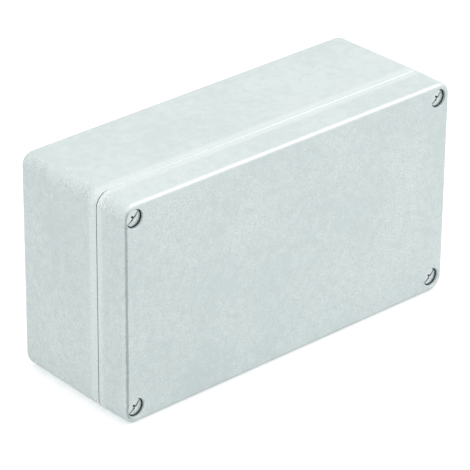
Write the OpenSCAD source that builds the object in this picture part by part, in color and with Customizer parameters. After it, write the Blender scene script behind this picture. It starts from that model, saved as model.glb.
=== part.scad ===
// Die cast aluminium box with a screwed lid.
// The castings are drawn lying on the back face, lid upwards, as they lie in the die.
// stand_up() then sets the box on its long narrow side, with the lid towards -Y.

/* [Box] */
// Length of the box at the parting line, in mm
box_l = 220; // [200:1:260]
// Height of the box as it stands, at the parting line
box_h = 122; // [112:1:160]
// Depth of the box, from the lid face to the back face
box_d = 81; // [70:1:100]
// Radius of the four upright corners at the parting line
corner_r = 8; // [7:0.5:10]
// Small chamfer on both castings where they meet
parting_chamfer = 0.3; // [0.1:0.05:0.5]

/* [Base casting] */
// Draft of the outer walls of the base, in degrees
base_draft = 0.85; // [0.5:0.05:1.4]
// Radius of the edge round the back face
back_edge_r = 5; // [2:0.5:5]
// Thickness of the back wall, which is the floor of the base
floor_t = 4; // [3:0.5:5]
// Thickness of the long walls at their mouth
wall_t = 5.2; // [5.2:0.1:6]
// Fillet between the inner walls and the floor
floor_fillet_r = 3; // [2:0.5:3.5]

/* [Lid casting] */
// Height of the lid, from the parting line to its face
lid_h = 19.8; // [18:0.1:26]
// Draft of the outer walls of the lid, in degrees
lid_draft = 1; // [0.5:0.05:1.5]
// Radius of the edge round the lid face
face_edge_r = 2; // [1:0.25:3]
// Thickness of the lid face
lid_t = 4.2; // [3.5:0.1:5]

/* [Seal] */
// Distance of the seal's centre line from the long sides
seal_inset_y = 4; // [4:0.1:5]
// Distance of the seal's centre line from the ends
seal_inset_x = 15.5; // [15.5:0.1:18]
// Corner radius of the seal's centre line
seal_corner_r = 5; // [4:0.5:8]
// Width of the groove in the lid
groove_w = 3.4; // [3:0.1:3.6]
// Depth of the groove in the lid
groove_d = 3.2; // [2.6:0.1:4]
// Width of the rim of the base that presses the seal
rim_w = 1.6; // [1:0.1:1.8]
// Height of that rim above the parting line
rim_h = 1.6; // [1:0.1:1.8]

/* [Lid screws] */
// Distance of the lid screws from the ends
screw_inset_x = 8; // [8:0.1:9]
// Distance of the lid screws from the long sides
screw_inset_y = 8.5; // [8:0.1:9]
// Diameter of the counterbores in the lid face
counterbore_d = 10; // [9.6:0.1:10.6]
// Depth of the counterbores
counterbore_depth = 5.2; // [4.5:0.1:6]
// Rounding of the counterbore's lip, drawn as a chamfer
lip_chamfer = 0.5; // [0.2:0.1:0.8]
// Diameter of the screw heads
head_d = 9; // [8.5:0.1:9.2]
// Height of the screw heads, with their crown
head_h = 3.9; // [3.2:0.1:4]
// Diameter of the threaded end, at the middle of its thread
thread_d = 4.5; // [4:0.1:5]
// Length of the threaded end
thread_l = 11.5; // [10:0.5:14]
// Diameter of the reduced shank, which keeps the screw captive
shank_d = 3.9; // [3.5:0.1:4]
// Angle of the screwdriver slots to the long sides, in degrees
slot_angle = 43; // [0:1:90]

/* [Wall fixing] */
// Distance of the wall fixing holes from the ends
fixing_inset_x = 8; // [8:0.1:9]
// Distance of the wall fixing holes from the long sides
fixing_inset_y = 20; // [19:0.5:24]
// Diameter of the wall fixing holes
fixing_d = 7; // [6:0.1:7]
// Diameter of the deep recess that takes the head of the fixing screw
fixing_head_d = 11; // [10:0.1:11]
// Thickness of metal left under that head
fixing_seat_t = 12; // [8:0.5:16]

/* [Inside] */
// Height of the tapped bosses above the floor
boss_h = 6; // [4:0.5:10]
// Diameter of the tapped bosses at their top
boss_d = 9; // [8:0.5:10]
// Core diameter of the tapped holes in the bosses
boss_hole_d = 3.3; // [3:0.1:4]
// Width of the square earth pad and of its clamping washer
earth_pad_w = 13; // [12:0.5:15]
// Height of the earth pad above the floor
earth_pad_h = 5; // [4:0.5:6]

/* [Hidden] */

$fn = 48;
edge_steps = 8;
eps = 0.01;
casting_color = [0.82, 0.86, 0.86];
steel_color = [0.75, 0.76, 0.77];
rubber_color = [0.12, 0.12, 0.12];
nylon_color = [0.9, 0.89, 0.85];

half_l = box_l / 2;
half_h = box_h / 2;
parting_z = box_d - lid_h;
seal_half_l = half_l - seal_inset_x;
seal_half_h = half_h - seal_inset_y;
fixing_x = half_l - fixing_inset_x;
fixing_y = half_h - fixing_inset_y;

// Inner face of the base: it starts just inside the seal rim
rim_land = 0.4;
cavity_half_l = seal_half_l - rim_w / 2 - rim_land;
cavity_half_h = half_h - wall_t;
cavity_draft = 1;
cavity_corner_r = 5;

// Inner face of the lid: it starts just inside the seal groove
groove_lip = 1.5;
lid_cavity_half_l = seal_half_l - groove_w / 2 - groove_lip;
lid_cavity_half_h = seal_half_h - groove_w / 2 - groove_lip;
lid_cavity_draft = 1.5;

// Cored pockets at both ends, outside the seal, which keep the walls even
end_wall_t = 3.5;
pocket_half_l = (half_l - end_wall_t - cavity_half_l - end_wall_t) / 2;
pocket_x = cavity_half_l + end_wall_t + pocket_half_l;
pocket_end_gap = 9;
base_pocket_half_h = fixing_y - pocket_end_gap;
base_pocket_floor = 6;
lid_pocket_end_gap = 8;
lid_pocket_half_h = half_h - screw_inset_y - lid_pocket_end_gap;
lid_pocket_floor = 5;
lid_pocket_inner = seal_half_l + groove_w / 2 + groove_lip;
lid_pocket_half_l = (half_l - end_wall_t - lid_pocket_inner) / 2;
lid_pocket_x = lid_pocket_inner + lid_pocket_half_l;
pocket_corner_r = 3;
pocket_fillet_r = 1.5;

// Lid screws, their holes and retaining rings
screw_x = half_l - screw_inset_x;
screw_y = half_h - screw_inset_y;
head_seat_z = box_d - counterbore_depth;
head_crown_h = 1.2;
crown_facets = 96;
shank_hole_d = 5.6;
shank_l = 27;
tap_depth = 16;
thread_clearance = 0.02;
slot_w = 1.3;
slot_depth = 1.6;
cross_w = 1.1;
cross_reach = 2.3;
cross_depth = 2.4;
ring_d = 8.6;
ring_bore_d = 4.1;
ring_t = 1.2;
ring_pocket_d = 9.4;
ring_pocket_depth = 1.6;
ring_gap = 0.2;

// Gasket, already pressed by the rim
gasket_side_gap = 0.1;
gasket_bottom_gap = 0.3;

// Tapped bosses in the base and in the lid
boss_draft_r = 0.5;
boss_hole_depth = 8;
corner_boss_x = half_l - 28;
corner_boss_y = half_h - 18;
rail_boss_x = half_l - 50;
lid_boss_x = half_l - 36;
lid_boss_y = half_h - 23;
lid_boss_h = 5;
lid_boss_d = 8;

// Earth terminal
earth_x = half_l - 62;
earth_y = 20 - half_h;
earth_pad_corner_r = 2;
earth_pad_top = floor_t + earth_pad_h;
earth_hole_depth = 8;
clamp_w = earth_pad_w - 1;
clamp_t = 1.5;
clamp_lip = 1;
clamp_lip_t = 1.4;
clamp_slack = 0.4;
clamp_inner_l = earth_pad_w + clamp_slack;
clamp_l = clamp_inner_l + 2 * clamp_lip_t;
clamp_hole_d = 5.2;
lock_washer_d = 9.2;
lock_washer_bore_d = 5.1;
lock_washer_t = 1.3;
lock_washer_split = 0.8;
lock_washer_tilt = 25;
earth_head_d = 9.5;
earth_head_h = 3.4;
earth_screw_l = 10;

// Turns a casting that lies on its back so that it stands with its lid to the front
module stand_up() {
    translate([0, box_d / 2, half_h])
        rotate([90, 0, 0])
            children();
}

// Repeats a child in the four corners of a rectangle, without turning it
module at_corners(x, y) {
    for (sx = [-1, 1], sy = [-1, 1])
        translate([sx * x, sy * y, 0])
            children();
}

// Whole microns, so that the slabs and the corners of a casting share every edge point
function micron(v) = round(v * 1000) / 1000;

// Half section of a drafted wall: full width at the mouth, y = 0, narrower at the end, y = depth.
// It reaches from the middle plane, over the straight part, to a corner of radius r.
// The edge at the end is an arc, tangent to the drafted side and to the flat end.
module wall_section(straight, r, depth, draft, edge_r, mouth_chamfer) {
    centre_y = depth - edge_r;
    centre_x = r - (edge_r + centre_y * sin(draft)) / cos(draft);
    edge_arc = [
        for (step = [0:edge_steps])
            let (turn = draft + (90 - draft) * step / edge_steps)
                [centre_x + edge_r * cos(turn), centre_y + edge_r * sin(turn)]
    ];
    mouth = mouth_chamfer > 0
        ? [[r - mouth_chamfer, 0], [r - mouth_chamfer * tan(draft), mouth_chamfer]]
        : [[r, 0]];
    wall = [for (p = concat(mouth, edge_arc)) [straight + micron(p.x), micron(p.y)]];
    polygon(concat([[0, 0]], wall, [[0, depth]]));
}

// Straight slab with that section on both sides, centred on its length
module drafted_slab(length, straight, r, depth, draft, edge_r, mouth_chamfer) {
    rotate([90, 0, 0])
        linear_extrude(height = length, center = true)
            for (side = [0, 1])
                mirror([side, 0])
                    wall_section(straight, r, depth, draft, edge_r, mouth_chamfer);
}

// Drafted block with rounded corners: two crossed slabs and four corners turned from one section.
// Its mouth lies at z = 0 and the block goes up from there.
module drafted_block(half_x, half_y, r, depth, draft, edge_r, mouth_chamfer = 0) {
    straight_x = half_x - r;
    straight_y = half_y - r;
    drafted_slab(2 * straight_y, straight_x, r, depth, draft, edge_r, mouth_chamfer);
    rotate([0, 0, 90])
        drafted_slab(2 * straight_x, straight_y, r, depth, draft, edge_r, mouth_chamfer);
    for (sx = [0, 1], sy = [0, 1])
        mirror([sx, 0, 0])
            mirror([0, sy, 0])
                translate([straight_x, straight_y, 0])
                    rotate_extrude(angle = 90)
                        wall_section(0, r, depth, draft, edge_r, mouth_chamfer);
}

// Rounded rectangle in the plane, from two bars and four discs
module rounded_plate(half_x, half_y, r) {
    square([2 * (half_x - r), 2 * half_y], center = true);
    square([2 * half_x, 2 * (half_y - r)], center = true);
    for (sx = [-1, 1], sy = [-1, 1])
        translate([sx * (half_x - r), sy * (half_y - r)])
            circle(r = r);
}

// Closed band of width w along the seal's centre line, from z = 0 up to h
module seal_band(w, h) {
    linear_extrude(height = h)
        difference() {
            rounded_plate(seal_half_l + w / 2, seal_half_h + w / 2, seal_corner_r + w / 2);
            rounded_plate(seal_half_l - w / 2, seal_half_h - w / 2, seal_corner_r - w / 2);
        }
}

// Cast boss that stands on a floor at z = 0, slightly wider at its foot
module cast_boss(d, h) {
    cylinder(h = h, r1 = d / 2 + boss_draft_r, r2 = d / 2);
}

// Hollow of the base, cut from the parting plane down
module base_hollow() {
    depth = parting_z - floor_t;
    translate([0, 0, parting_z])
        mirror([0, 0, 1])
            drafted_block(cavity_half_l, cavity_half_h, cavity_corner_r,
                          depth, cavity_draft, floor_fillet_r);
    for (side = [-1, 1])
        translate([side * pocket_x, 0, parting_z])
            mirror([0, 0, 1])
                drafted_block(pocket_half_l, base_pocket_half_h, pocket_corner_r,
                              parting_z - base_pocket_floor, cavity_draft, pocket_fillet_r);
}

// Wall fixing hole with the deep recess for its screw head
module fixing_hole() {
    translate([0, 0, -eps])
        cylinder(h = fixing_seat_t + 2 * eps, d = fixing_d);
    translate([0, 0, fixing_seat_t])
        cylinder(h = parting_z - fixing_seat_t + eps, d = fixing_head_d);
}

// Bosses on the floor of the base: four in the corners and two for a rail
module base_bosses() {
    at_corners(corner_boss_x, corner_boss_y)
        cast_boss(boss_d, boss_h);
    for (side = [-1, 1])
        translate([side * rail_boss_x, 0, 0])
            cast_boss(boss_d, boss_h);
}

// Blind tapped holes in those bosses
module base_boss_holes() {
    at_corners(corner_boss_x, corner_boss_y)
        cylinder(h = boss_hole_depth, d = boss_hole_d);
    for (side = [-1, 1])
        translate([side * rail_boss_x, 0, 0])
            cylinder(h = boss_hole_depth, d = boss_hole_d);
}

// Deep casting with the seal rim, the lid screw threads and the wall fixing holes
module base() {
    color(casting_color)
        stand_up()
            difference() {
                union() {
                    difference() {
                        translate([0, 0, parting_z])
                            mirror([0, 0, 1])
                                drafted_block(half_l, half_h, corner_r, parting_z,
                                              base_draft, back_edge_r, parting_chamfer);
                        base_hollow();
                    }
                    translate([0, 0, parting_z - eps])
                        seal_band(rim_w, rim_h + eps);
                    translate([0, 0, floor_t - eps])
                        base_bosses();
                    translate([earth_x, earth_y, floor_t - eps])
                        linear_extrude(height = earth_pad_h + eps)
                            rounded_plate(earth_pad_w / 2, earth_pad_w / 2, earth_pad_corner_r);
                }
                translate([0, 0, floor_t + boss_h - boss_hole_depth])
                    base_boss_holes();
                translate([earth_x, earth_y, earth_pad_top - earth_hole_depth])
                    cylinder(h = earth_hole_depth + eps, d = thread_d);
                at_corners(screw_x, screw_y)
                    translate([0, 0, parting_z - tap_depth])
                        cylinder(h = tap_depth + eps, d = thread_d);
                at_corners(fixing_x, fixing_y)
                    fixing_hole();
            }
}

// Counterbored hole for one lid screw, with the recess for its retaining ring below
module lid_screw_hole() {
    translate([0, 0, parting_z - eps])
        cylinder(h = lid_h, d = shank_hole_d);
    translate([0, 0, parting_z - eps])
        cylinder(h = ring_pocket_depth + eps, d = ring_pocket_d);
    translate([0, 0, head_seat_z])
        cylinder(h = counterbore_depth + eps, d = counterbore_d);
    translate([0, 0, box_d - lip_chamfer])
        cylinder(h = lip_chamfer + eps, d1 = counterbore_d,
                 d2 = counterbore_d + 2 * (lip_chamfer + eps));
}

// Shallow casting that closes the box: seal groove, end pockets, bosses and counterbores
module lid() {
    color(casting_color)
        stand_up()
            difference() {
                union() {
                    difference() {
                        translate([0, 0, parting_z])
                            drafted_block(half_l, half_h, corner_r, lid_h,
                                          lid_draft, face_edge_r, parting_chamfer);
                        translate([0, 0, parting_z])
                            drafted_block(lid_cavity_half_l, lid_cavity_half_h, cavity_corner_r,
                                          lid_h - lid_t, lid_cavity_draft, floor_fillet_r);
                        for (side = [-1, 1])
                            translate([side * lid_pocket_x, 0, parting_z])
                                drafted_block(lid_pocket_half_l, lid_pocket_half_h, pocket_corner_r,
                                              lid_h - lid_pocket_floor, cavity_draft, pocket_fillet_r);
                    }
                    at_corners(lid_boss_x, lid_boss_y)
                        translate([0, 0, box_d - lid_t + eps])
                            mirror([0, 0, 1])
                                cast_boss(lid_boss_d, lid_boss_h);
                }
                translate([0, 0, parting_z - eps])
                    seal_band(groove_w, groove_d + eps);
                at_corners(lid_boss_x, lid_boss_y)
                    translate([0, 0, box_d - lid_t - lid_boss_h - eps])
                        cylinder(h = lid_boss_h, d = boss_hole_d);
                at_corners(screw_x, screw_y)
                    lid_screw_hole();
            }
}

// Closed rubber ring, drawn as it is when the rim has bitten into it
module lid_gasket() {
    color(rubber_color)
        stand_up()
            difference() {
                translate([0, 0, parting_z + gasket_bottom_gap])
                    seal_band(groove_w - 2 * gasket_side_gap, groove_d - gasket_bottom_gap);
                translate([0, 0, parting_z])
                    seal_band(rim_w, rim_h);
            }
}

// Straight slot right across the head and a small cross recess at its middle
module driver_recess(head_top) {
    translate([0, 0, head_top])
        rotate([0, 0, slot_angle]) {
            translate([-head_d, -slot_w / 2, -slot_depth])
                cube([2 * head_d, slot_w, slot_depth + eps]);
            intersection() {
                translate([0, 0, -cross_depth])
                    cylinder(h = cross_depth + eps, r1 = cross_w / 2, r2 = cross_reach);
                translate([-cross_w / 2, -cross_reach, -cross_depth])
                    cube([cross_w, 2 * cross_reach, cross_depth + eps]);
            }
        }
}

// Crowned cylindrical head that stands on z = 0
module crowned_head(d, h, crown) {
    crown_r = (pow(d / 2, 2) + pow(crown, 2)) / (2 * crown);
    intersection() {
        cylinder(h = h, d = d);
        translate([0, 0, h - crown_r])
            sphere(r = crown_r, $fn = crown_facets);
    }
}

// Long screw with a reduced shank, so that its ring holds it in the lid
module lid_screw() {
    difference() {
        union() {
            crowned_head(head_d, head_h, head_crown_h);
            translate([0, 0, -shank_l])
                cylinder(h = shank_l + eps, d = shank_d);
            translate([0, 0, -shank_l])
                cylinder(h = thread_l, d = thread_d - thread_clearance);
        }
        driver_recess(head_h);
    }
}

// The four lid screws, fully driven
module lid_screws() {
    color(steel_color)
        stand_up()
            at_corners(screw_x, screw_y)
                translate([0, 0, head_seat_z])
                    lid_screw();
}

// Nylon rings on the reduced shanks, in their recesses under the lid
module screw_retainers() {
    color(nylon_color)
        stand_up()
            at_corners(screw_x, screw_y)
                translate([0, 0, parting_z + ring_gap])
                    difference() {
                        cylinder(h = ring_t, d = ring_d);
                        translate([0, 0, -eps])
                            cylinder(h = ring_t + 2 * eps, d = ring_bore_d);
                    }
}

// Places a piece of the earth terminal above its pad
module on_earth_pad(height) {
    stand_up()
        translate([earth_x, earth_y, earth_pad_top + height])
            children();
}

// Earth terminal screw, which clamps the wire under the square washer
module earth_screw() {
    color(steel_color)
        on_earth_pad(clamp_t + lock_washer_t)
            difference() {
                union() {
                    crowned_head(earth_head_d, earth_head_h, head_crown_h);
                    translate([0, 0, -earth_screw_l])
                        cylinder(h = earth_screw_l + eps, d = thread_d - thread_clearance);
                }
                driver_recess(earth_head_h);
            }
}

// Spring lock washer, split on the slant
module earth_lock_washer() {
    color(steel_color)
        on_earth_pad(clamp_t)
            difference() {
                cylinder(h = lock_washer_t, d = lock_washer_d);
                translate([0, 0, -eps])
                    cylinder(h = lock_washer_t + 2 * eps, d = lock_washer_bore_d);
                translate([0, 0, lock_washer_t / 2])
                    rotate([lock_washer_tilt, 0, 0])
                        translate([0, -lock_washer_split / 2, -lock_washer_d])
                            cube([lock_washer_d, lock_washer_split, 2 * lock_washer_d]);
            }
}

// Square clamping washer with two turned-down lips that hold the wire in place
module earth_clamp() {
    color(steel_color)
        on_earth_pad(0)
            difference() {
                translate([0, 0, (clamp_t - clamp_lip) / 2])
                    cube([clamp_l, clamp_w, clamp_t + clamp_lip], center = true);
                translate([0, 0, -clamp_lip])
                    cube([clamp_inner_l, clamp_w + 2 * eps, 2 * clamp_lip], center = true);
                translate([0, 0, -eps])
                    cylinder(h = clamp_t + 2 * eps, d = clamp_hole_d);
            }
}

base();
lid();
lid_gasket();
lid_screws();
screw_retainers();
earth_screw();
earth_lock_washer();
earth_clamp();
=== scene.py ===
import math

import bpy
from mathutils import Matrix, Vector


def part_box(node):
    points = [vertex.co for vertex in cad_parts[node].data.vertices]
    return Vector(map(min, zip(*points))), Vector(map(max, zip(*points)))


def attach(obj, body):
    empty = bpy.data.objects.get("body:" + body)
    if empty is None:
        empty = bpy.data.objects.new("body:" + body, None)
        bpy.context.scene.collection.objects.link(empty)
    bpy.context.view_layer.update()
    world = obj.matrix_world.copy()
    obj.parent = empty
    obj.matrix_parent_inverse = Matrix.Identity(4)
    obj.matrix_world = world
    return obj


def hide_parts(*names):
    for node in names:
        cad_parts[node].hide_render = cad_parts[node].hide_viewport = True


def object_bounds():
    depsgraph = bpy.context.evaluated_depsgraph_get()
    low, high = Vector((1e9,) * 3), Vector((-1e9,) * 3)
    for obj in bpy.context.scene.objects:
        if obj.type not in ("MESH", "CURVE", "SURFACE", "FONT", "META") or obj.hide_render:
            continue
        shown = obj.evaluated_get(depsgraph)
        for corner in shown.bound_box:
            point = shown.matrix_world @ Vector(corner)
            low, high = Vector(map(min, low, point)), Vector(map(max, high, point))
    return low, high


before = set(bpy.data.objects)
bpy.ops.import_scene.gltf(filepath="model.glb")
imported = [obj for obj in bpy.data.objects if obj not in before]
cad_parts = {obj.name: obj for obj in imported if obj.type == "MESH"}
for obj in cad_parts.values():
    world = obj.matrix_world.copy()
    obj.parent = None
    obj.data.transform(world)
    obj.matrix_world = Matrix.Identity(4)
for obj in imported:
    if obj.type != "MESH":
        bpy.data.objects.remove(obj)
cad_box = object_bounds()

# ---------------------------------------------------------------------------
# Base
# The deep half of the box, die cast in aluminium with drafted walls, cored
# pockets in its ends and a thin rim that bites into the seal. Shot blasted,
# then ground along the joint, where the flash of the die was taken off.
# ---------------------------------------------------------------------------
MM = 0.001
BODY = "root"

base_low, base_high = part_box("base")
HALF_LENGTH = base_high.x
HALF_HEIGHT = (base_high.z - base_low.z) / 2
MIDDLE_Z = (base_high.z + base_low.z) / 2
BACK_Y = base_high.y
JOINT_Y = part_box("lid")[1].y

# Segments in each quarter turn of a casting, seen from above and in section
CORNER_STEPS = 12
EDGE_STEPS = 6
QUARTER = math.pi / 2

SCREW_X = HALF_LENGTH - 8 * MM
SCREW_Z = HALF_HEIGHT - 8.5 * MM
FIXING_Z = HALF_HEIGHT - 20 * MM

BASE_SIZES = {
    "Half Length": HALF_LENGTH,
    "Half Height": HALF_HEIGHT,
    "Corner Radius": 8 * MM,
    "Depth": BACK_Y - JOINT_Y,
    "Draft": math.radians(0.85),
    "Back Edge Radius": 5 * MM,
    "Joint Edge Radius": 0.4 * MM,
    "Floor": 4 * MM,
    "Cavity Half Length": 93.3 * MM,
    "Cavity Half Height": 55.8 * MM,
    "Cavity Corner Radius": 5 * MM,
    "Cavity Draft": math.radians(1),
    "Floor Fillet": 3 * MM,
    "Pocket Place": 101.65 * MM,
    "Pocket Half Width": 4.85 * MM,
    "Pocket Half Height": 32 * MM,
    "Pocket Floor": 6 * MM,
    "Seal Half Length": 94.5 * MM,
    "Seal Half Height": 57 * MM,
    "Seal Corner Radius": 5 * MM,
    "Rim Width": 1.6 * MM,
    "Rim Height": 1.6 * MM,
    "Boss Radius": 4.5 * MM,
    "Boss Height": 6 * MM,
    "Boss Place X": 82 * MM,
    "Boss Place Z": 43 * MM,
    "Rail Boss Place": 60 * MM,
    "Boss Hole Radius": 1.65 * MM,
    "Tapped Depth": 8 * MM,
    "Earth Pad Half Width": 6.5 * MM,
    "Earth Pad Height": 5 * MM,
    "Earth Pad Corner Radius": 2 * MM,
    "Earth Place X": 48 * MM,
    "Earth Place Z": -41 * MM,
    "Thread Radius": 2.25 * MM,
    "Screw Place X": SCREW_X,
    "Screw Place Z": SCREW_Z,
    "Screw Hole Depth": 16 * MM,
    "Fixing Place Z": FIXING_Z,
    "Fixing Radius": 3.5 * MM,
    "Fixing Head Radius": 5.5 * MM,
    "Fixing Seat": 12 * MM,
}


def feed(tree, slot, value):
    """Puts a worked-out amount, another node's output or a plain value into a socket."""
    if isinstance(value, Amount):
        value = value.socket
    if isinstance(value, bpy.types.NodeSocket):
        tree.links.new(value, slot)
    else:
        slot.default_value = value


class Amount:
    """A number in a node tree, so that sizes and patterns are worked out with plain signs."""

    def __init__(self, tree, socket):
        self.tree = tree
        self.socket = socket

    def math(self, operation, *others, first=None):
        node = self.tree.nodes.new("ShaderNodeMath")
        node.operation = operation
        feed(self.tree, node.inputs[0], self if first is None else first)
        for slot, value in zip(node.inputs[1:], others if first is None else (self,)):
            feed(self.tree, slot, value)
        return Amount(self.tree, node.outputs[0])

    def __add__(self, other):
        return self.math("ADD", other)

    def __sub__(self, other):
        return self.math("SUBTRACT", other)

    def __rsub__(self, other):
        return self.math("SUBTRACT", first=other)

    def __mul__(self, other):
        return self.math("MULTIPLY", other)

    def __truediv__(self, other):
        return self.math("DIVIDE", other)

    def __neg__(self):
        return self.math("MULTIPLY", -1.0)

    def __lt__(self, other):
        return self.math("LESS_THAN", other)

    def __gt__(self, other):
        return self.math("GREATER_THAN", other)

    __radd__ = __add__
    __rmul__ = __mul__


def vector(tree, x, y, z):
    node = tree.nodes.new("ShaderNodeCombineXYZ")
    for slot, value in zip(node.inputs, (x, y, z)):
        feed(tree, slot, value)
    return node.outputs[0]


def shape_tree(name, sizes):
    """New Geometry Nodes tree with one named input for each size."""
    tree = bpy.data.node_groups.new(name, "GeometryNodeTree")
    for size_name, value in sizes.items():
        socket = tree.interface.new_socket(size_name, in_out="INPUT", socket_type="NodeSocketFloat")
        socket.default_value = value
    tree.interface.new_socket("Mesh", in_out="OUTPUT", socket_type="NodeSocketGeometry")
    entry = tree.nodes.new("NodeGroupInput")
    amounts = {size_name: Amount(tree, entry.outputs[size_name]) for size_name in sizes}
    return tree, amounts


def wall_point(tree, size, around, level):
    """Point of a drafted form: its column is counted round the form, its level up the wall.

    The first half of the levels rounds the mouth, the second half rounds the far edge.
    A negative mouth radius flares the mouth outwards.
    """
    per_corner = CORNER_STEPS + 1
    quarter = (around / per_corner).math("FLOOR")
    along = (around - quarter * per_corner) / CORNER_STEPS
    turn = (quarter + along) * QUARTER
    side_x = ((quarter + 0.5) * QUARTER).math("COSINE").math("SIGN")
    side_y = ((quarter + 0.5) * QUARTER).math("SINE").math("SIGN")

    per_edge = EDGE_STEPS + 1
    is_end = (level / per_edge).math("FLOOR")
    along_edge = (level - is_end * per_edge) / EDGE_STEPS
    draft = size["Draft"]
    tilt = (along_edge - 1 + is_end) * QUARTER + draft * (along_edge + is_end - 2 * is_end * along_edge)
    mouth = size["Mouth Radius"]
    edge_out = mouth + is_end * (size["End Radius"] - mouth)
    edge_up = edge_out.math("ABSOLUTE")
    centre_up = edge_up + is_end * (size["Depth"] - 2 * edge_up)
    draw_in = edge_out / draft.math("COSINE") + centre_up * draft.math("TANGENT")

    corner = size["Corner Radius"]
    radius = corner - draw_in + edge_out * tilt.math("COSINE")
    x = side_x * (size["Half X"] - corner) + radius * turn.math("COSINE")
    y = side_y * (size["Half Y"] - corner) + radius * turn.math("SINE")
    return vector(tree, x, y, centre_up + edge_up * tilt.math("SINE"))


def set_place(tree, mesh, place):
    node = tree.nodes.new("GeometryNodeSetPosition")
    feed(tree, node.inputs["Geometry"], mesh)
    feed(tree, node.inputs["Position"], place)
    return node.outputs["Geometry"]


def joined(tree, *meshes):
    node = tree.nodes.new("GeometryNodeJoinGeometry")
    for mesh in meshes:
        tree.links.new(mesh, node.inputs["Geometry"])
    return node.outputs["Geometry"]


def finish_tree(tree, mesh):
    output = tree.nodes.new("NodeGroupOutput")
    tree.links.new(mesh, output.inputs["Mesh"])


def make_form_tree():
    """Closed form with drafted walls and rounded corners and edges, from z = 0 upwards."""
    names = ("Half X", "Half Y", "Corner Radius", "Depth", "Draft", "End Radius", "Mouth Radius")
    tree, size = shape_tree("drafted_form", dict.fromkeys(names, 0.0))
    columns = 4 * (CORNER_STEPS + 1)
    levels = 2 * (EDGE_STEPS + 1)
    index = Amount(tree, tree.nodes.new("GeometryNodeInputIndex").outputs[0])

    sheet = tree.nodes.new("GeometryNodeMeshGrid")
    sheet.inputs["Vertices X"].default_value = columns + 1
    sheet.inputs["Vertices Y"].default_value = levels
    column = (index / levels).math("FLOOR")
    walls = set_place(tree, sheet.outputs["Mesh"], wall_point(tree, size, column, index - column * levels))

    disc = tree.nodes.new("GeometryNodeMeshCircle")
    disc.fill_type = "NGON"
    disc.inputs["Vertices"].default_value = columns
    far_end = set_place(tree, disc.outputs["Mesh"], wall_point(tree, size, index, index * 0 + (levels - 1)))
    turned = tree.nodes.new("GeometryNodeFlipFaces")
    tree.links.new(disc.outputs["Mesh"], turned.inputs["Mesh"])
    mouth = set_place(tree, turned.outputs["Mesh"], wall_point(tree, size, index, index * 0))

    weld = tree.nodes.new("GeometryNodeMergeByDistance")
    weld.inputs["Distance"].default_value = 1e-6
    tree.links.new(joined(tree, walls, far_end, mouth), weld.inputs["Geometry"])
    finish_tree(tree, weld.outputs["Geometry"])
    return tree


form_tree = make_form_tree()


def form(tree, half_x, half_y, corner, depth, draft=0.0, end=0.0, mouth=0.0):
    node = tree.nodes.new("GeometryNodeGroup")
    node.node_tree = form_tree
    for slot, value in zip(node.inputs, (half_x, half_y, corner, depth, draft, end, mouth)):
        feed(tree, slot, value)
    return node.outputs["Mesh"]


def round_form(tree, radius, depth, draft=0.0, end=0.0, mouth=0.0):
    return form(tree, radius, radius, radius, depth, draft, end, mouth)


def moved(tree, mesh, x=0.0, y=0.0, z=0.0, turn=(0.0, 0.0, 0.0)):
    node = tree.nodes.new("GeometryNodeTransform")
    feed(tree, node.inputs["Geometry"], mesh)
    feed(tree, node.inputs["Translation"], vector(tree, x, y, z))
    node.inputs["Rotation"].default_value = turn
    return node.outputs["Geometry"]


UPSIDE_DOWN = (math.pi, 0.0, 0.0)


def repeated(tree, mesh, points):
    """Stands a copy of the mesh on each point."""
    stand = tree.nodes.new("GeometryNodeInstanceOnPoints")
    feed(tree, stand.inputs["Points"], points)
    feed(tree, stand.inputs["Instance"], mesh)
    solid = tree.nodes.new("GeometryNodeRealizeInstances")
    tree.links.new(stand.outputs["Instances"], solid.inputs["Geometry"])
    return solid.outputs["Geometry"]


def in_four_corners(tree, mesh, x, y):
    grid = tree.nodes.new("GeometryNodeMeshGrid")
    grid.inputs["Vertices X"].default_value = 2
    grid.inputs["Vertices Y"].default_value = 2
    feed(tree, grid.inputs["Size X"], 2 * x)
    feed(tree, grid.inputs["Size Y"], 2 * y)
    return repeated(tree, mesh, grid.outputs["Mesh"])


def at_both_ends(tree, mesh, x):
    line = tree.nodes.new("GeometryNodeMeshLine")
    line.inputs["Count"].default_value = 2
    feed(tree, line.inputs["Start Location"], vector(tree, -x, 0.0, 0.0))
    feed(tree, line.inputs["Offset"], vector(tree, 2 * x, 0.0, 0.0))
    return repeated(tree, mesh, line.outputs["Mesh"])


def boolean(tree, operation, body, tools):
    node = tree.nodes.new("GeometryNodeMeshBoolean")
    node.operation = operation
    node.solver = "MANIFOLD"
    if operation == "DIFFERENCE":
        tree.links.new(body, node.inputs["Mesh 1"])
    else:
        tools = (body, *tools)
    for tool in tools:
        tree.links.new(tool, node.inputs["Mesh 2"])
    return node.outputs["Mesh"]


def cut(tree, body, *tools):
    return boolean(tree, "DIFFERENCE", body, tools)


def fused(tree, body, *parts):
    return boolean(tree, "UNION", body, parts)


# Small reach past a face, so that a cut goes clean through it
OVERLAP = 0.02 * MM

# Details that are cast alike in both halves of the box
POCKET_CORNER = 3 * MM
POCKET_FILLET = 1.5 * MM
BOSS_DRAFT = math.radians(3)
BOSS_TOP_EDGE = 0.4 * MM
BOSS_FOOT = 0.5 * MM
BOSS_FOOT_FLARE = 1 * MM


def cast_boss(tree, size):
    """Drafted round boss that flares at its foot and hangs down from z = 0."""
    boss = round_form(tree, size["Boss Radius"] + BOSS_FOOT, size["Boss Height"] + OVERLAP,
                      BOSS_DRAFT, BOSS_TOP_EDGE, -BOSS_FOOT_FLARE)
    return moved(tree, boss, turn=UPSIDE_DOWN)


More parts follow.
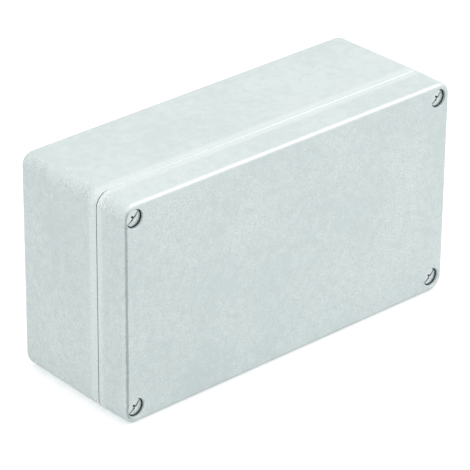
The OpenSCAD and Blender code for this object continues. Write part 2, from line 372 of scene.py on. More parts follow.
def seal_band(tree, size, width, depth):
    """Closed band that follows the seal, from z = 0 upwards."""
    half = width / 2
    outside = form(tree, size["Seal Half Length"] + half, size["Seal Half Height"] + half,
                   size["Seal Corner Radius"] + half, depth)
    inside = form(tree, size["Seal Half Length"] - half, size["Seal Half Height"] - half,
                  size["Seal Corner Radius"] - half, depth + 4 * OVERLAP)
    return cut(tree, outside, moved(tree, inside, z=-2 * OVERLAP))


def smooth_and_sharp(tree, mesh, angle):
    """Smooth shading, apart from edges that turn by more than the angle."""
    soft = tree.nodes.new("GeometryNodeSetShadeSmooth")
    feed(tree, soft.inputs["Geometry"], mesh)
    soft.inputs["Shade Smooth"].default_value = True
    edge = tree.nodes.new("GeometryNodeInputMeshEdgeAngle")
    crisp = tree.nodes.new("GeometryNodeSetShadeSmooth")
    crisp.domain = "EDGE"
    crisp.inputs["Shade Smooth"].default_value = False
    sharp = Amount(tree, edge.outputs["Unsigned Angle"]) > angle
    feed(tree, crisp.inputs["Selection"], sharp)
    tree.links.new(soft.outputs["Geometry"], crisp.inputs["Geometry"])
    return crisp.outputs["Geometry"]


# Edges that turn by more than this stay crisp
SHARP_EDGE = math.radians(28)


def finish_piece(tree, mesh, turn, place, material):
    """Turns the finished form into its place in the box and gives it its material."""
    placed = moved(tree, mesh, *place, turn=turn)
    solid = tree.nodes.new("GeometryNodeRealizeInstances")
    tree.links.new(smooth_and_sharp(tree, placed, SHARP_EDGE), solid.inputs["Geometry"])
    coat = tree.nodes.new("GeometryNodeSetMaterial")
    coat.inputs["Material"].default_value = material
    tree.links.new(solid.outputs["Geometry"], coat.inputs["Geometry"])
    finish_tree(tree, coat.outputs["Geometry"])


def made_piece(name, tree, sizes):
    """Runs a tree once and keeps the result as a plain mesh."""
    piece = bpy.data.objects.new(name, bpy.data.meshes.new(name))
    bpy.context.scene.collection.objects.link(piece)
    shape = piece.modifiers.new("shape", "NODES")
    shape.node_group = tree
    for item in tree.interface.items_tree:
        if item.in_out == "INPUT":
            shape[item.identifier] = sizes[item.name]
    shading = piece.modifiers.new("shading", "WEIGHTED_NORMAL")
    shading.keep_sharp = True
    graph = bpy.context.evaluated_depsgraph_get()
    mesh = bpy.data.meshes.new_from_object(piece.evaluated_get(graph), depsgraph=graph)
    piece.modifiers.clear()
    mesh.name = name
    piece.data = mesh
    return piece


def make_base_tree(material):
    tree, size = shape_tree("base_casting", BASE_SIZES)
    depth = size["Depth"]
    floor = depth - size["Floor"]
    body = form(tree, size["Half Length"], size["Half Height"], size["Corner Radius"], depth,
                size["Draft"], size["Back Edge Radius"], size["Joint Edge Radius"])
    cavity = form(tree, size["Cavity Half Length"], size["Cavity Half Height"],
                  size["Cavity Corner Radius"], floor + OVERLAP, size["Cavity Draft"],
                  size["Floor Fillet"])
    pocket = form(tree, size["Pocket Half Width"], size["Pocket Half Height"], POCKET_CORNER,
                  depth - size["Pocket Floor"], size["Cavity Draft"], POCKET_FILLET)
    hollow = cut(tree, body, moved(tree, cavity, z=-OVERLAP),
                 moved(tree, at_both_ends(tree, pocket, size["Pocket Place"]), z=-OVERLAP))

    rim = moved(tree, seal_band(tree, size, size["Rim Width"], size["Rim Height"] + OVERLAP),
                z=OVERLAP, turn=UPSIDE_DOWN)
    boss = cast_boss(tree, size)
    foot = floor + OVERLAP
    bosses = moved(tree, in_four_corners(tree, boss, size["Boss Place X"], size["Boss Place Z"]), z=foot)
    rail_bosses = moved(tree, at_both_ends(tree, boss, size["Rail Boss Place"]), z=foot)
    pad = moved(tree, form(tree, size["Earth Pad Half Width"], size["Earth Pad Half Width"],
                           size["Earth Pad Corner Radius"], size["Earth Pad Height"] + OVERLAP),
                turn=UPSIDE_DOWN)
    earth_pad = moved(tree, pad, x=size["Earth Place X"], y=-size["Earth Place Z"], z=foot)
    solid = fused(tree, hollow, rim, bosses, rail_bosses, earth_pad)

    tap = round_form(tree, size["Boss Hole Radius"], size["Tapped Depth"] + OVERLAP)
    boss_top = floor - size["Boss Height"] - OVERLAP
    corner_taps = moved(tree, in_four_corners(tree, tap, size["Boss Place X"], size["Boss Place Z"]),
                        z=boss_top)
    rail_taps = moved(tree, at_both_ends(tree, tap, size["Rail Boss Place"]), z=boss_top)
    earth_tap = moved(tree, round_form(tree, size["Thread Radius"], size["Tapped Depth"] + OVERLAP),
                      x=size["Earth Place X"], y=-size["Earth Place Z"],
                      z=floor - size["Earth Pad Height"] - OVERLAP)
    screw_tap = moved(tree, round_form(tree, size["Thread Radius"], size["Screw Hole Depth"] + OVERLAP),
                      z=-OVERLAP)
    screw_taps = in_four_corners(tree, screw_tap, size["Screw Place X"], size["Screw Place Z"])
    recess = moved(tree, round_form(tree, size["Fixing Head Radius"], depth - size["Fixing Seat"]),
                   z=-OVERLAP)
    through = moved(tree, round_form(tree, size["Fixing Radius"], depth + 4 * OVERLAP), z=-2 * OVERLAP)
    recesses = in_four_corners(tree, recess, size["Screw Place X"], size["Fixing Place Z"])
    fixings = in_four_corners(tree, through, size["Screw Place X"], size["Fixing Place Z"])
    drilled = cut(tree, solid, corner_taps, rail_taps, earth_tap, screw_taps, recesses, fixings)

    finish_piece(tree, drilled, (-QUARTER, 0.0, 0.0), (0.0, JOINT_Y, MIDDLE_Z), material)
    return tree


def colour(red, green, blue):
    return (red, green, blue, 1.0)


def new_finish(name, base_colour, metallic, roughness):
    """New material; its shader's own sockets hold what is the same all over."""
    material = bpy.data.materials.new(name)
    material.use_nodes = True
    shader = material.node_tree.nodes["Principled BSDF"]
    shader.inputs["Base Color"].default_value = base_colour
    shader.inputs["Metallic"].default_value = metallic
    shader.inputs["Roughness"].default_value = roughness
    return material, material.node_tree, shader


def object_place(tree):
    """The point on the piece, and its three coordinates as amounts."""
    place = tree.nodes.new("ShaderNodeTexCoord").outputs["Object"]
    split = tree.nodes.new("ShaderNodeSeparateXYZ")
    tree.links.new(place, split.inputs[0])
    return place, [Amount(tree, socket) for socket in split.outputs]


def stretched(tree, place, scale):
    mapping = tree.nodes.new("ShaderNodeMapping")
    tree.links.new(place, mapping.inputs["Vector"])
    mapping.inputs["Scale"].default_value = scale
    return mapping.outputs["Vector"]


def noise(tree, place, size, detail=2.0, roughness=0.5):
    """Even noise about 0.5, with blotches of about the given size."""
    node = tree.nodes.new("ShaderNodeTexNoise")
    tree.links.new(place, node.inputs["Vector"])
    node.inputs["Scale"].default_value = 1 / size
    node.inputs["Detail"].default_value = detail
    node.inputs["Roughness"].default_value = roughness
    return Amount(tree, node.outputs["Fac"])


def specks(tree, place, spacing, radius, share):
    """Round specks: 1 inside a speck; only a share of the places has one."""
    cells = tree.nodes.new("ShaderNodeTexVoronoi")
    tree.links.new(place, cells.inputs["Vector"])
    cells.inputs["Scale"].default_value = 1 / spacing
    chance = tree.nodes.new("ShaderNodeSeparateColor")
    tree.links.new(cells.outputs["Color"], chance.inputs[0])
    near = ramp(Amount(tree, cells.outputs["Distance"]), radius, 0.0)
    return near * (Amount(tree, chance.outputs[0]) < share)


def ramp(amount, start, end):
    """0 at start, 1 at end and beyond, smooth between them."""
    node = amount.tree.nodes.new("ShaderNodeMapRange")
    node.interpolation_type = "SMOOTHSTEP"
    feed(amount.tree, node.inputs["Value"], amount)
    low, high, flip = (start, end, False) if start < end else (end, start, True)
    node.inputs["From Min"].default_value = low
    node.inputs["From Max"].default_value = high
    node.inputs["To Min"].default_value = 1.0 if flip else 0.0
    node.inputs["To Max"].default_value = 0.0 if flip else 1.0
    return Amount(amount.tree, node.outputs["Result"])


def blend(tree, share, first, second):
    """Mix of two colours."""
    node = tree.nodes.new("ShaderNodeMix")
    node.data_type = "RGBA"
    sockets = {slot.identifier: slot for slot in node.inputs}
    feed(tree, sockets["Factor_Float"], share)
    feed(tree, sockets["A_Color"], first)
    feed(tree, sockets["B_Color"], second)
    return next(slot for slot in node.outputs if slot.identifier == "Result_Color")


def brightened(tree, paint, factor):
    """The colour, lighter or darker by a factor that may change over the surface."""
    node = tree.nodes.new("ShaderNodeVectorMath")
    node.operation = "SCALE"
    feed(tree, node.inputs[0], paint)
    feed(tree, node.inputs["Scale"], factor)
    return node.outputs[0]


def bumped(tree, shader, height, depth, below=None):
    """Adds relief of the given depth, in metres, over any relief below it."""
    node = tree.nodes.new("ShaderNodeBump")
    node.inputs["Distance"].default_value = depth
    feed(tree, node.inputs["Height"], height)
    if below is not None:
        tree.links.new(below, node.inputs["Normal"])
    tree.links.new(node.outputs["Normal"], shader.inputs["Normal"])
    return node.outputs["Normal"]


LIGHT_CAST = colour(0.74, 0.80, 0.796)
DARK_CAST = colour(0.685, 0.75, 0.747)
# Ground metal beside the joint; on the lid it also serves as a painted highlight along the upper edge
GROUND_METAL_AND_HIGHLIGHT = colour(0.83, 0.88, 0.876)
# Painted highlight for the base's rounded joint edge
JOINT_EDGE_HIGHLIGHT = colour(0.92, 0.95, 0.95)
JOINT_SHADOW = colour(0.10, 0.11, 0.11)


def cast_aluminium(name, ground_side, ground_width):
    """Shot blasted casting: grain, glints, pits, and flow marks along the corners.

    A band beside the joint is ground across, so it is smoother and has fine
    streaks; ground_side is +1 for the back of the joint and -1 for its front.
    """
    material, tree, shader = new_finish(name, LIGHT_CAST, 1.0, 0.5)
    place, (x, y, z) = object_place(tree)
    across = x.math("ABSOLUTE")
    height = (z - MIDDLE_Z).math("ABSOLUTE")
    blotches = noise(tree, place, 5 * MM, 4, 0.6)
    clouds = noise(tree, place, 45 * MM, 2)
    paint = blend(tree, ramp(blotches * 0.6 + clouds * 0.4, 0.62, 0.38), LIGHT_CAST, DARK_CAST)

    grain = noise(tree, place, 1.1 * MM, 3, 0.7)
    shots = specks(tree, place, 1.6 * MM, 0.35, 0.22)
    pits = specks(tree, place, 2.3 * MM, 0.3, 0.2)
    glints = specks(tree, place, 3.2 * MM, 0.16, 0.45)
    on_side = ramp(height, HALF_HEIGHT - 2 * MM, HALF_HEIGHT - 7 * MM)
    coarse = (0.3 + on_side * 0.7) * (0.2 + clouds * 2.2)
    level = 1.0 + coarse * ((grain - 0.5) * 0.32 + shots * 0.07 + glints * 0.22 - pits * 0.09)

    past_corner = (across + height - (HALF_LENGTH + HALF_HEIGHT - 16 * MM)) / (8 * MM)
    flow = ramp(past_corner, 0.9, 1.4) * ramp(noise(tree, place, 9 * MM, 3), 0.36, 0.55)
    pitting = noise(tree, place, 1.1 * MM, 3, 0.75)
    level = level + flow * (pitting - 0.47) * 0.7

    away = (y - JOINT_Y) * float(ground_side)
    band = ramp(away + (blotches - 0.5) * (7 * MM), ground_width, ground_width * 0.5)
    streaks = noise(tree, stretched(tree, place, (1.0, 0.04, 1.0)), 0.35 * MM, 2)
    paint = blend(tree, band * 0.65, paint, GROUND_METAL_AND_HIGHLIGHT)
    level = level + band * (streaks - 0.5) * 0.16

    on_end = ramp(across, HALF_LENGTH - 9 * MM, HALF_LENGTH - 2 * MM)
    gap = ramp((y - (JOINT_Y - 0.2 * MM)).math("ABSOLUTE"), 0.40 * MM, 0.22 * MM)
    paint = blend(tree, gap * (0.25 + on_end * 0.75), paint, JOINT_SHADOW)
    # Painted highlight on the base's joint edge, on the long sides only and fading towards the -X end
    lip = ramp((y - (JOINT_Y + 0.3 * MM)).math("ABSOLUTE"), 0.36 * MM, 0.14 * MM) * (1.0 - on_end)
    lip = lip * ramp(x, -HALF_LENGTH * 0.8, HALF_LENGTH * 0.5)
    paint = blend(tree, lip * 0.6, paint, JOINT_EDGE_HIGHLIGHT)

    relief = bumped(tree, shader, grain * (1.0 - band * 0.7) + shots * 0.4 - pits * 0.6, 0.13 * MM)
    relief = bumped(tree, shader, noise(tree, place, 14 * MM, 2), 0.12 * MM, relief)
    bumped(tree, shader, flow * pitting, 0.35 * MM, relief)
    roughness = 0.5 + blotches * 0.12 - band * 0.1 - lip * 0.1
    return material, tree, shader, (x, y, z), place, paint, level, roughness


def finish_metal(tree, shader, paint, level, roughness):
    tree.links.new(brightened(tree, paint, level), shader.inputs["Base Color"])
    feed(tree, shader.inputs["Roughness"], roughness)


def base_finish():
    material, tree, shader, _, _, paint, level, roughness = cast_aluminium(
        "cast_aluminium_base", 1, 7 * MM)
    finish_metal(tree, shader, paint, level, roughness)
    return material


base = made_piece("base_casting", make_base_tree(base_finish()), BASE_SIZES)
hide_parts("base")
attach(base, BODY)


# ---------------------------------------------------------------------------
# Earth terminal
# A square steel washer clamps the earth wire on a cast pad in the base, under
# a split spring washer and a crowned screw. All three are stainless steel.
# ---------------------------------------------------------------------------
STAINLESS = colour(0.70, 0.71, 0.72)
DULL_STAINLESS = colour(0.58, 0.59, 0.60)


def stainless_steel(name, bright, dull, brush_size):
    """Drawn steel that clouds between two shades, with faint short brush marks."""
    material, tree, shader = new_finish(name, bright, 1.0, 0.3)
    place, coordinates = object_place(tree)
    brushing = noise(tree, stretched(tree, place, (1.0, 0.2, 1.0)), brush_size, 3)
    clouds = noise(tree, place, 2 * MM, 2)
    paint = blend(tree, clouds, bright, dull)
    bumped(tree, shader, brushing, 0.01 * MM)
    return material, tree, shader, coordinates, paint, 0.92 + brushing * 0.16, 0.24 + clouds * 0.14


def terminal_finish():
    material, tree, shader, _, paint, level, roughness = stainless_steel(
        "terminal_steel", STAINLESS, DULL_STAINLESS, 0.3 * MM)
    finish_metal(tree, shader, paint, level, roughness)
    return material


def refinish(node_name, material):
    """Gives a piece of the frame its finish, and leaves its shape alone."""
    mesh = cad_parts[node_name].data
    mesh.materials.clear()
    mesh.materials.append(material)


terminal_steel = terminal_finish()
for part in ("earth_clamp", "earth_lock_washer", "earth_screw"):
    refinish(part, terminal_steel)


# ---------------------------------------------------------------------------
# Gasket
# A closed ring of black chloroprene rubber, laid in the groove of the lid and
# pressed by the rim of the base.
# ---------------------------------------------------------------------------
def black_rubber():
    material, tree, shader = new_finish("black_rubber", colour(0.03, 0.03, 0.03), 0.0, 0.7)
    place, _ = object_place(tree)
    bloom = noise(tree, place, 5 * MM, 3)
    skin = noise(tree, place, 0.3 * MM, 2)
    tree.links.new(blend(tree, bloom, colour(0.022, 0.022, 0.023), colour(0.045, 0.045, 0.044)),
                   shader.inputs["Base Color"])
    feed(tree, shader.inputs["Roughness"], 0.6 + bloom * 0.2)
    bumped(tree, shader, skin, 0.02 * MM)
    return material


refinish("lid_gasket", black_rubber())


# ---------------------------------------------------------------------------
# Lid
# The shallow half of the box, cast and blasted like the base. Its seal groove
# and its four counterbores are machined, and each counterbore has a soft lip.
# ---------------------------------------------------------------------------
LID_SIZES = {
    "Half Length": HALF_LENGTH,
    "Half Height": HALF_HEIGHT,
    "Corner Radius": 8 * MM,
    "Height": JOINT_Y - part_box("lid")[0].y,
    "Draft": math.radians(1),
    "Face Edge Radius": 2 * MM,
    "Joint Edge Radius": 0.4 * MM,
    "Face": 4.2 * MM,
    "Cavity Half Length": 91.3 * MM,
    "Cavity Half Height": 53.8 * MM,
    "Cavity Corner Radius": 5 * MM,
    "Cavity Draft": math.radians(1.5),
    "Face Fillet": 3 * MM,
    "Pocket Place": 102.1 * MM,
    "Pocket Half Width": 4.4 * MM,
    "Pocket Half Height": 44.5 * MM,
    "Pocket Face": 5 * MM,
    "Pocket Draft": math.radians(1),
    "Seal Half Length": 94.5 * MM,
    "Seal Half Height": 57 * MM,
    "Seal Corner Radius": 5 * MM,
    "Groove Width": 3.4 * MM,
    "Groove Depth": 3.2 * MM,
    "Boss Radius": 4 * MM,
    "Boss Height": 5 * MM,
    "Boss Place X": 74 * MM,
    "Boss Place Z": 38 * MM,
    "Boss Hole Radius": 1.65 * MM,
    "Screw Place X": SCREW_X,
    "Screw Place Z": SCREW_Z,
    "Shank Hole Radius": 2.8 * MM,
    "Ring Recess Radius": 4.7 * MM,
    "Ring Recess Depth": 1.6 * MM,
    "Counterbore Radius": 5 * MM,
    "Counterbore Depth": 5.2 * MM,
    "Lip Radius": 0.7 * MM,
}


def make_lid_tree(material):
    tree, size = shape_tree("lid_casting", LID_SIZES)
    height = size["Height"]
    ceiling = height - size["Face"]
    body = form(tree, size["Half Length"], size["Half Height"], size["Corner Radius"], height,
                size["Draft"], size["Face Edge Radius"], size["Joint Edge Radius"])
    cavity = form(tree, size["Cavity Half Length"], size["Cavity Half Height"],
                  size["Cavity Corner Radius"], ceiling + OVERLAP, size["Cavity Draft"],
                  size["Face Fillet"])
    pocket = form(tree, size["Pocket Half Width"], size["Pocket Half Height"], POCKET_CORNER,
                  height - size["Pocket Face"], size["Pocket Draft"], POCKET_FILLET)
    hollow = cut(tree, body, moved(tree, cavity, z=-OVERLAP),
                 moved(tree, at_both_ends(tree, pocket, size["Pocket Place"]), z=-OVERLAP))

    boss = cast_boss(tree, size)
    bosses = moved(tree, in_four_corners(tree, boss, size["Boss Place X"], size["Boss Place Z"]),
                   z=ceiling + OVERLAP)
    solid = fused(tree, hollow, bosses)

    groove = moved(tree, seal_band(tree, size, size["Groove Width"], size["Groove Depth"] + OVERLAP),
                   z=-OVERLAP)
    tap = round_form(tree, size["Boss Hole Radius"], size["Boss Height"] + OVERLAP)
    taps = moved(tree, in_four_corners(tree, tap, size["Boss Place X"], size["Boss Place Z"]),
                 z=ceiling - size["Boss Height"] - OVERLAP)
    shank = moved(tree, round_form(tree, size["Shank Hole Radius"], height), z=-OVERLAP)
    ring = moved(tree, round_form(tree, size["Ring Recess Radius"], size["Ring Recess Depth"] + OVERLAP),
                 z=-OVERLAP)
    counterbore = moved(tree, round_form(tree, size["Counterbore Radius"],
                                         size["Counterbore Depth"] + OVERLAP, mouth=-size["Lip Radius"]),
                        z=height + OVERLAP, turn=UPSIDE_DOWN)
    cutters = [in_four_corners(tree, cutter, size["Screw Place X"], size["Screw Place Z"])
               for cutter in (shank, ring, counterbore)]
    machined = cut(tree, solid, groove, taps, *cutters)
    finish_piece(tree, machined, (QUARTER, 0.0, 0.0), (0.0, JOINT_Y, MIDDLE_Z), material)
    return tree


# Painted shade on the counterbore walls
BORE_SHADE = colour(0.05, 0.055, 0.055)
# Painted shade along the lid's end edge at -X and along its lower edge
EDGE_SHADE = colour(0.40, 0.44, 0.44)


def length_of(first, second):
    """Length of the diagonal over two sides at right angles."""
    return (first * first + second * second).math("SQRT")


def from_nearest_screw(x, z):
    """Distance from the axis of the nearest lid screw."""
    return length_of(x.math("ABSOLUTE") - SCREW_X, (z - MIDDLE_Z).math("ABSOLUTE") - SCREW_Z)


def lid_finish():
    """Painted shade that deepens down the counterbores, a painted highlight along the upper edge, and
    painted shade along the end edge at -X and the lower edge.
    """
    material, tree, shader, (x, y, z), place, paint, level, roughness = cast_aluminium(
        "cast_aluminium_lid", -1, 5 * MM)
    corner = LID_SIZES["Corner Radius"]
    edge_start = 2.3 * MM
    draw_in = 0.35 * MM
    from_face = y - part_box("lid")[0].y
    height = (z - MIDDLE_Z).math("ABSOLUTE")

    # Distance from the face's rounded outline, measured square to it
    past_x = x.math("ABSOLUTE") - (HALF_LENGTH - corner)
    past_z = height - (HALF_HEIGHT - corner)
    inside = past_x.math("MAXIMUM", past_z).math("MINIMUM", 0.0)
    outline = length_of(past_x.math("MAXIMUM", 0.0), past_z.math("MAXIMUM", 0.0)) + inside
    from_edge = outline - (corner - edge_start)
    # Painted shade along the end edge, at the -X end only
    wander = (noise(tree, place, 3 * MM, 2) - 0.5) * (0.8 * MM)
    end_edge_shade = ramp(length_of(from_edge, from_face) + wander, 1.15 * MM, 0.4 * MM)
    end_edge_shade = end_edge_shade * ramp(past_x - past_z, -3 * MM, 3 * MM) * (x < 0.0)
    paint = blend(tree, end_edge_shade * 0.8, paint, EDGE_SHADE)

    from_side = HALF_HEIGHT - draw_in - height
    # Painted shade along the lower edge of the face
    lower_edge_shade = ramp(from_side, 1.7 * MM, 0.9 * MM) * ramp(from_face, 0.1 * MM, 0.6 * MM)
    lower_edge_shade = lower_edge_shade * ramp(from_face, 4 * MM, 2.5 * MM) * (z < MIDDLE_Z)
    paint = blend(tree, lower_edge_shade * 0.7, paint, EDGE_SHADE)
    # Painted highlight along the upper edge of the face, on the upper side only
    upper_edge_highlight = ramp(length_of(from_side, from_face), 2.4 * MM, 1.0 * MM) * (z > MIDDLE_Z)
    paint = blend(tree, upper_edge_highlight * 0.5, paint, GROUND_METAL_AND_HIGHLIGHT)

    bore_radius = LID_SIZES["Counterbore Radius"]
    # Painted shade in the counterbores, darker from about 1 mm below the face downwards
    in_bore = ramp(from_nearest_screw(x, z), bore_radius + 0.25 * MM, bore_radius + 0.05 * MM)
    bore_shade = in_bore * ramp(from_face, 0.9 * MM, 2.2 * MM)
    paint = blend(tree, bore_shade, paint, BORE_SHADE)
    finish_metal(tree, shader, paint, level, roughness - upper_edge_highlight * 0.2)
    return material


lid = made_piece("lid_casting", make_lid_tree(lid_finish()), LID_SIZES)
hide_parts("lid")
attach(lid, BODY)


# ---------------------------------------------------------------------------
# Retaining rings
# Four rings of natural nylon, punched from sheet and pushed onto the reduced
# shanks of the lid screws, so that the screws stay in the lid.
# ---------------------------------------------------------------------------
def natural_nylon():
    material, tree, shader = new_finish("natural_nylon", colour(0.82, 0.80, 0.74), 0.0, 0.45)
    shader.inputs["Subsurface Weight"].default_value = 0.2
    shader.inputs["Subsurface Scale"].default_value = 1 * MM
    place, _ = object_place(tree)
    cloudy = noise(tree, place, 3 * MM, 2)
    tree.links.new(blend(tree, cloudy, colour(0.84, 0.82, 0.77), colour(0.78, 0.75, 0.68)),
                   shader.inputs["Base Color"])
    bumped(tree, shader, noise(tree, place, 0.4 * MM, 2), 0.01 * MM)
    return material


refinish("screw_retainers", natural_nylon())


# ---------------------------------------------------------------------------
# Lid screws
# Four long stainless steel screws with a rolled thread, a reduced shank and a
# crowned head, which takes a flat or a cross-point driver.
# ---------------------------------------------------------------------------
SCREW_SIZES = {
    "Place X": SCREW_X,
    "Place Z": SCREW_Z,
    "Head Radius": 4.5 * MM,
    "Head Height": 3.9 * MM,
    "Head Edge Radius": 0.7 * MM,
    "Crown Height": 0.6 * MM,
    "Head Foot Radius": 0.2 * MM,
    "Shank Radius": 1.95 * MM,
    "Shank Length": 27 * MM,
    "Thread Length": 11.5 * MM,
    "Thread Root Radius": 2.0 * MM,
    "Thread Depth": 0.5 * MM,
    "Thread Start Radius": 0.3 * MM,
    "Tip Radius": 0.5 * MM,
    "Thread Margin": 0.2 * MM,
    "Slot Width": 1.0 * MM,
    "Slot Depth": 1.2 * MM,
    "Cross Width": 1.1 * MM,
    "Cross Reach": 1.9 * MM,
    "Cross Depth": 2.6 * MM,
}
SLOT_ANGLE = math.radians(43)
CONE_DRAFT = math.radians(36)
THREAD_PITCH = 0.8 * MM

# How far the shank runs on into the head, and the slot cutter past its top
SHANK_IN_HEAD = 0.5 * MM
CUTTER_PAST_TOP = 1 * MM


def slab(tree, length, width, height):
    """Rectangular bar that stands on z = 0."""
    bar = tree.nodes.new("GeometryNodeMeshCube")
    feed(tree, bar.inputs["Size"], vector(tree, length, width, height))
    return moved(tree, bar.outputs["Mesh"], z=height / 2)


def make_screw_tree(material):
    tree, size = shape_tree("lid_screw", SCREW_SIZES)
    top = size["Head Height"]
    radius = size["Head Radius"]
    crown = size["Crown Height"]
    ball_radius = (radius * radius + crown * crown) / (2 * crown)
    ball = tree.nodes.new("GeometryNodeMeshUVSphere")
    ball.inputs["Segments"].default_value = 128
    ball.inputs["Rings"].default_value = 512
    feed(tree, ball.inputs["Radius"], ball_radius)
    drum = round_form(tree, radius, top, end=size["Head Edge Radius"],
                      mouth=size["Head Foot Radius"])
    head = boolean(tree, "INTERSECT", drum, [moved(tree, ball.outputs["Mesh"], z=top - ball_radius)])

    slot = slab(tree, 4 * radius, size["Slot Width"], size["Slot Depth"] + CUTTER_PAST_TOP)
    slot = moved(tree, slot, z=top - size["Slot Depth"])
    cone = moved(tree, round_form(tree, size["Cross Reach"], size["Cross Depth"], CONE_DRAFT),
                 z=top + OVERLAP, turn=UPSIDE_DOWN)
    cross_bar = moved(tree, slab(tree, size["Cross Width"], 4 * size["Cross Reach"], size["Cross Depth"]),
                      z=top - size["Cross Depth"])
    cross = boolean(tree, "INTERSECT", cone, [cross_bar])
    driven = cut(tree, head, *[moved(tree, tool, turn=(0.0, 0.0, SLOT_ANGLE)) for tool in (slot, cross)])

    shank = moved(tree, round_form(tree, size["Shank Radius"], size["Shank Length"] + SHANK_IN_HEAD),
                  z=SHANK_IN_HEAD, turn=UPSIDE_DOWN)
    root = moved(tree, round_form(tree, size["Thread Root Radius"], size["Thread Length"],
                                  end=size["Tip Radius"], mouth=size["Thread Start Radius"]),
                 z=size["Thread Length"] - size["Shank Length"], turn=UPSIDE_DOWN)
    rod = fused(tree, driven, shank, root)

    helix = tree.nodes.new("GeometryNodeCurveSpiral")
    helix.inputs["Resolution"].default_value = 24
    run = size["Thread Length"] - 2 * size["Thread Depth"] - 2 * size["Thread Margin"]
    feed(tree, helix.inputs["Rotations"], run / THREAD_PITCH)
    feed(tree, helix.inputs["Start Radius"], size["Thread Root Radius"])
    feed(tree, helix.inputs["End Radius"], size["Thread Root Radius"])
    feed(tree, helix.inputs["Height"], run)
    ridge = tree.nodes.new("GeometryNodeCurvePrimitiveCircle")
    ridge.inputs["Resolution"].default_value = 4
    feed(tree, ridge.inputs["Radius"], size["Thread Depth"])
    sweep = tree.nodes.new("GeometryNodeCurveToMesh")
    sweep.inputs["Fill Caps"].default_value = True
    tree.links.new(helix.outputs["Curve"], sweep.inputs["Curve"])
    tree.links.new(ridge.outputs["Curve"], sweep.inputs["Profile Curve"])
    thread = moved(tree, sweep.outputs["Mesh"],
                   z=size["Thread Depth"] + size["Thread Margin"] - size["Shank Length"])

    screw = joined(tree, rod, thread)
    four = in_four_corners(tree, screw, size["Place X"], size["Place Z"])
    seat_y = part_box("lid")[0].y + LID_SIZES["Counterbore Depth"]
    finish_piece(tree, four, (QUARTER, 0.0, 0.0), (0.0, seat_y, MIDDLE_Z), material)
    return tree


BRIGHT_STEEL = colour(0.80, 0.84, 0.84)
SATIN_STEEL = colour(0.72, 0.76, 0.76)
# Painted shade for the slot and the cross recess
RECESS_SHADE = colour(0.10, 0.11, 0.11)


def screw_finish():
    """Bright steel, with painted shade in the cross recess and fainter painted shade along the slot."""
    material, tree, shader, (x, y, z), paint, level, roughness = stainless_steel(
        "screw_steel", BRIGHT_STEEL, SATIN_STEEL, 0.2 * MM)
    from_axis = from_nearest_screw(x, z)
    head_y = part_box("lid")[0].y + LID_SIZES["Counterbore Depth"] - SCREW_SIZES["Head Height"]
    # Painted shade: dark in the cross recess, faint along the slot, below the top of the head
    near_middle = 0.15 + ramp(from_axis, 1.7 * MM, 1.0 * MM) * 0.85
    depth = ramp(y, head_y + 0.6 * MM, head_y + 1.2 * MM)
    recess = near_middle * ramp(from_axis, 3.8 * MM, 3.4 * MM) * depth
    paint = blend(tree, recess, paint, RECESS_SHADE)
    finish_metal(tree, shader, paint, level, roughness)
    return material


screws = made_piece("lid_screws_driven", make_screw_tree(screw_finish()), SCREW_SIZES)
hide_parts("lid_screws")
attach(screws, BODY)


# ---------------------------------------------------------------------------
# Studio
# White paper under soft daylight, with a broad lamp above and one at the
# right, and a long lens from the left and above.
# ---------------------------------------------------------------------------
WHITE_PAPER = colour(0.74, 0.74, 0.74)
PAPER_GLOW = 0.22
PAPER_GLOW_SEEN = 0.25
DAYLIGHT = colour(0.97, 1.0, 1.0)
DAYLIGHT_STRENGTH = 0.85


def light_path_share(tree, *ray_names):
    """1 for the kinds of ray that are named."""
    path = tree.nodes.new("ShaderNodeLightPath")
    share = Amount(tree, path.outputs[ray_names[0]])
    for ray_name in ray_names[1:]:
        share = share.math("MAXIMUM", path.outputs[ray_name])
    return share


def make_floor():
    span = 80 * HALF_LENGTH
    low = cad_box[0].z - 0.1 * MM
    mesh = bpy.data.meshes.new("floor")
    mesh.from_pydata([(-span, -span, low), (span, -span, low), (span, span, low), (-span, span, low)],
                     [], [(0, 1, 2, 3)])
    floor = bpy.data.objects.new("floor", mesh)
    bpy.context.scene.collection.objects.link(floor)
    paper = bpy.data.materials.new("white_paper")
    paper.use_nodes = True
    tree = paper.node_tree
    tree.nodes.clear()
    matt = tree.nodes.new("ShaderNodeBsdfDiffuse")
    matt.inputs["Color"].default_value = WHITE_PAPER
    glow = tree.nodes.new("ShaderNodeEmission")
    feed(tree, glow.inputs["Strength"],
         light_path_share(tree, "Is Camera Ray", "Is Glossy Ray", "Is Transmission Ray") * PAPER_GLOW
         + light_path_share(tree, "Is Camera Ray") * PAPER_GLOW_SEEN)
    both = tree.nodes.new("ShaderNodeAddShader")
    tree.links.new(matt.outputs[0], both.inputs[0])
    tree.links.new(glow.outputs[0], both.inputs[1])
    output = tree.nodes.new("ShaderNodeOutputMaterial")
    tree.links.new(both.outputs[0], output.inputs["Surface"])
    mesh.materials.append(paper)


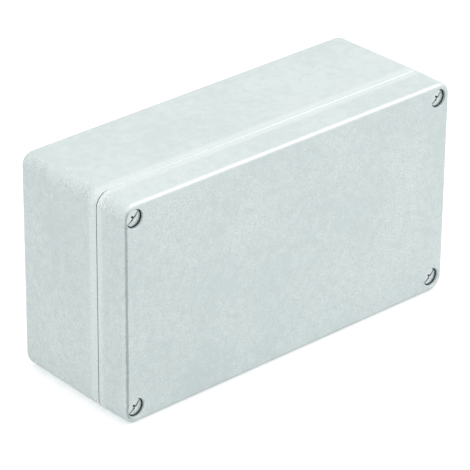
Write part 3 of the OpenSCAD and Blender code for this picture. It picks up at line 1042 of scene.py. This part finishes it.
def make_world():
    world = bpy.data.worlds.new("studio")
    bpy.context.scene.world = world
    world.use_nodes = True
    tree = world.node_tree
    tree.nodes.clear()
    fill = tree.nodes.new("ShaderNodeBackground")
    fill.inputs["Color"].default_value = DAYLIGHT
    fill.inputs["Strength"].default_value = DAYLIGHT_STRENGTH
    white = tree.nodes.new("ShaderNodeBackground")
    white.inputs["Color"].default_value = colour(1, 1, 1)
    mix = tree.nodes.new("ShaderNodeMixShader")
    feed(tree, mix.inputs["Fac"],
         light_path_share(tree, "Is Camera Ray", "Is Glossy Ray", "Is Transmission Ray"))
    tree.links.new(fill.outputs[0], mix.inputs[1])
    tree.links.new(white.outputs[0], mix.inputs[2])
    output = tree.nodes.new("ShaderNodeOutputWorld")
    tree.links.new(mix.outputs[0], output.inputs["Surface"])


def softbox(name, place, size, power):
    """Square lamp that faces the middle of the box."""
    lamp = bpy.data.lights.new(name, "AREA")
    lamp.shape = "SQUARE"
    lamp.size = size
    lamp.energy = power
    holder = bpy.data.objects.new(name, lamp)
    holder.location = place
    aim = Vector((0, 0, MIDDLE_Z)) - Vector(place)
    holder.rotation_euler = aim.to_track_quat("-Z", "Y").to_euler()
    bpy.context.scene.collection.objects.link(holder)


LENS = 239.82
CAMERA_PLACE = (-0.94722, -1.05517, 0.80986)
BEARING = math.radians(41.86)
TILT = math.radians(28.09)
ROLL = math.radians(-0.52)


def make_camera():
    lens = bpy.data.cameras.new("camera")
    lens.sensor_width = 36.0
    lens.lens = LENS
    lens.clip_start = 0.05
    lens.clip_end = 60.0
    camera = bpy.data.objects.new("camera", lens)
    bpy.context.scene.collection.objects.link(camera)
    forward = Vector((math.sin(BEARING) * math.cos(TILT), math.cos(BEARING) * math.cos(TILT),
                      -math.sin(TILT)))
    camera.location = CAMERA_PLACE
    upright = forward.to_track_quat("-Z", "Y").to_matrix().to_4x4()
    camera.rotation_mode = "QUATERNION"
    camera.rotation_quaternion = (Matrix.Rotation(ROLL, 4, forward) @ upright).to_quaternion()
    bpy.context.scene.camera = camera


make_floor()
make_world()
softbox("overhead", (0.1, 0.0, 1.6), 2.4, 3.6)
softbox("right_front", (0.55, -0.45, 0.65), 0.45, 0.9)
make_camera()
bpy.context.scene.view_settings.view_transform = "Standard"
